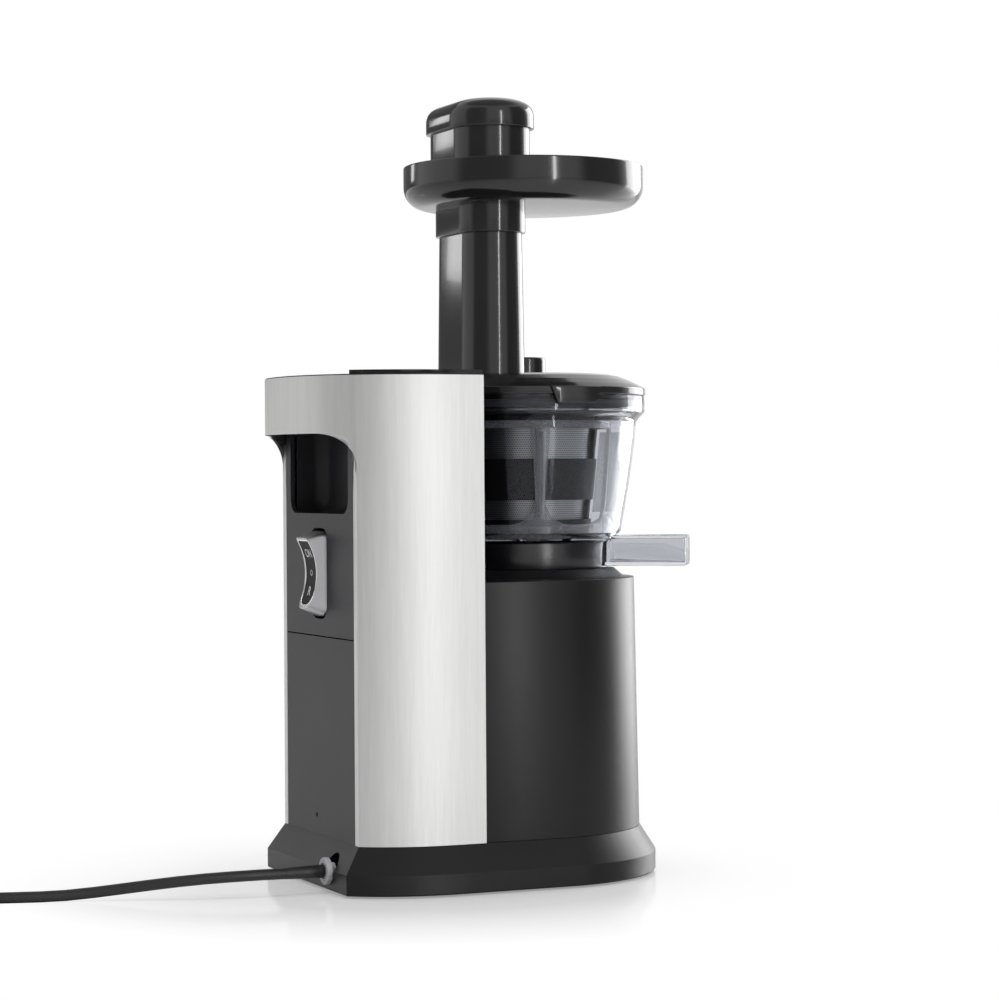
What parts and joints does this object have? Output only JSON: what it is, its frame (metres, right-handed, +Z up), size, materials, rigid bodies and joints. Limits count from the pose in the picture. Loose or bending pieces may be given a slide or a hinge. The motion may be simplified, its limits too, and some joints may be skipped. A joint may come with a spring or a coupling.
{
  "type": "cold press juicer",
  "caption": "Upright slow juicer: motor housing with rear handle, clear bowl with juice spout, strainer, brush and auger, gloss lid with oval feed chute, round tray and pusher.",
  "frame": {"origin": "on the floor below the middle of the appliance, its mains cord left out", "axes": "+Z up, +Y towards the rear panels and the handle, -Y towards the juicing bowl's front, +X to the right seen from the rear-facing cord side"},
  "size_m": [0.167, 0.5344, 0.4352],
  "materials": {
    "black_plastic": "satin black moulded plastic",
    "black_rubber": "black rubber or PVC",
    "bright_steel": "bright machined steel",
    "brushed_steel": "vertical brushed grain",
    "panel_grey": "fine-grained dark grey plastic",
    "cast_metal": "die-cast aluminium",
    "motor_steel": "varnished laminations",
    "copper": "enamelled copper wire",
    "bronze": "sintered bronze",
    "board": "green circuit board",
    "grey_plastic": "light grey moulded plastic",
    "gear_plastic": "natural acetal",
    "silver_plastic": "silver lacquered plastic",
    "clear_smoke": "clear smoke-tinted copolyester",
    "seal_rubber": "grey silicone",
    "perforated_steel": "perforated stainless sheet",
    "gloss_black": "polished black moulded plastic"
  },
  "bodies": {
    "housing": {"base_plinth": "black_plastic", "base_plate": "black_plastic", "rubber_feet": "black_rubber", "base_screws": "bright_steel", "front_housing": "black_plastic", "tower_liner": "black_plastic", "steel_wrap": "brushed_steel", "handle_lining": "black_plastic", "rear_panel_upper": "panel_grey", "rear_panel_lower": "panel_grey", "top_cover": "black_plastic", "shaft_seal": "black_rubber", "motor_bracket_lower": "cast_metal", "motor_bracket_upper": "cast_metal", "motor_bolts": "bright_steel", "motor_stator": "motor_steel", "motor_windings": "copper", "gearbox_case": "cast_metal", "gearbox_cover": "cast_metal", "gearbox_screws": "bright_steel", "shaft_bushes": "bronze", "switch_body": "black_plastic", "control_board": "board", "run_capacitor": "black_plastic", "interlock_switch": "black_plastic", "cord_gland": "grey_plastic", "strain_relief": "black_rubber", "cord_lead": "black_rubber", "cord_coil": "black_rubber", "coil_tie": "black_plastic", "plug_body": "black_rubber", "plug_pins": "bright_steel"},
    "drive_output": {"output_gear": "gear_plastic", "drive_shaft": "bright_steel"},
    "lay_gear": {"lay_gear": "bright_steel"},
    "motor_rotor": {"motor_rotor": "motor_steel", "motor_shaft": "bright_steel", "cooling_fan": "black_plastic"},
    "rocker": {"rocker": "silver_plastic", "rocker_inlay": "black_plastic"},
    "bowl": {"juice_bowl": "clear_smoke", "bowl_base": "black_plastic", "bowl_seal": "seal_rubber", "pulp_plug": "seal_rubber", "idler_pin": "bright_steel", "strainer_frame": "black_plastic", "strainer_mesh": "perforated_steel"},
    "auger": {"auger": "black_plastic", "auger_hub": "gear_plastic"},
    "brush_idler": {"brush_idler": "gear_plastic"},
    "brush": {"brush_frame": "black_plastic", "wiper_blades": "seal_rubber"},
    "lid_ring": {"lid_gasket": "seal_rubber"},
    "lid": {"lid": "gloss_black", "lid_bush": "gear_plastic"},
    "tray": {"hopper_tray": "gloss_black"},
    "pusher": {"pusher_body": "gloss_black", "pusher_cap": "gloss_black"}
  },
  "joints": [
    {"name": "drive_spin", "type": "hinge", "parent": "housing", "child": "drive_output", "pos_m": [0, -0.03318, 0.14], "axis": [0, 0, 1], "continuous": true},
    {"name": "lay_spin", "type": "hinge", "parent": "housing", "child": "lay_gear", "pos_m": [0, 0.01632, 0.13], "axis": [0, 0, 1], "continuous": true},
    {"name": "motor_spin", "type": "hinge", "parent": "housing", "child": "motor_rotor", "pos_m": [0, -0.02118, 0.07], "axis": [0, 0, 1], "continuous": true},
    {"name": "rocker_tilt", "type": "hinge", "parent": "housing", "child": "rocker", "pos_m": [0, 0.08402, 0.1705], "axis": [1, 0, 0], "range_deg": [-8, 8]},
    {"name": "bowl_lift", "type": "slide", "parent": "housing", "child": "bowl", "axis": [0, 0, 1], "range_m": [0, 0.1]},
    {"name": "auger_spin", "type": "hinge", "parent": "bowl", "child": "auger", "pos_m": [0, -0.03318, 0.2], "axis": [0, 0, 1], "continuous": true},
    {"name": "idler_spin", "type": "hinge", "parent": "bowl", "child": "brush_idler", "pos_m": [-0.02468, -0.01893, 0.19], "axis": [0, 0, 1], "continuous": true},
    {"name": "brush_spin", "type": "hinge", "parent": "bowl", "child": "brush", "pos_m": [0, -0.03318, 0.2], "axis": [0, 0, 1], "continuous": true},
    {"name": "lid_turn", "type": "hinge", "parent": "bowl", "child": "lid_ring", "pos_m": [0, -0.03318, 0.265], "axis": [0, 0, 1], "range_deg": [0, 30]},
    {"name": "lid_lift", "type": "slide", "parent": "lid_ring", "child": "lid", "axis": [0, 0, 1], "range_m": [0, 0.08]},
    {"name": "tray_lift", "type": "slide", "parent": "lid", "child": "tray", "axis": [0, 0, 1], "range_m": [0, 0.05]},
    {"name": "pusher_lift", "type": "slide", "parent": "tray", "child": "pusher", "axis": [0, 0, 1], "range_m": [0, 0.14]}
  ],
  "couplings": [
    {"joint": "lay_spin", "follows": "drive_spin", "ratio": -4.5},
    {"joint": "motor_spin", "follows": "drive_spin", "ratio": 18},
    {"joint": "auger_spin", "follows": "drive_spin", "ratio": 1},
    {"joint": "idler_spin", "follows": "drive_spin", "ratio": -2.8},
    {"joint": "brush_spin", "follows": "drive_spin", "ratio": -0.58333}
  ]
}
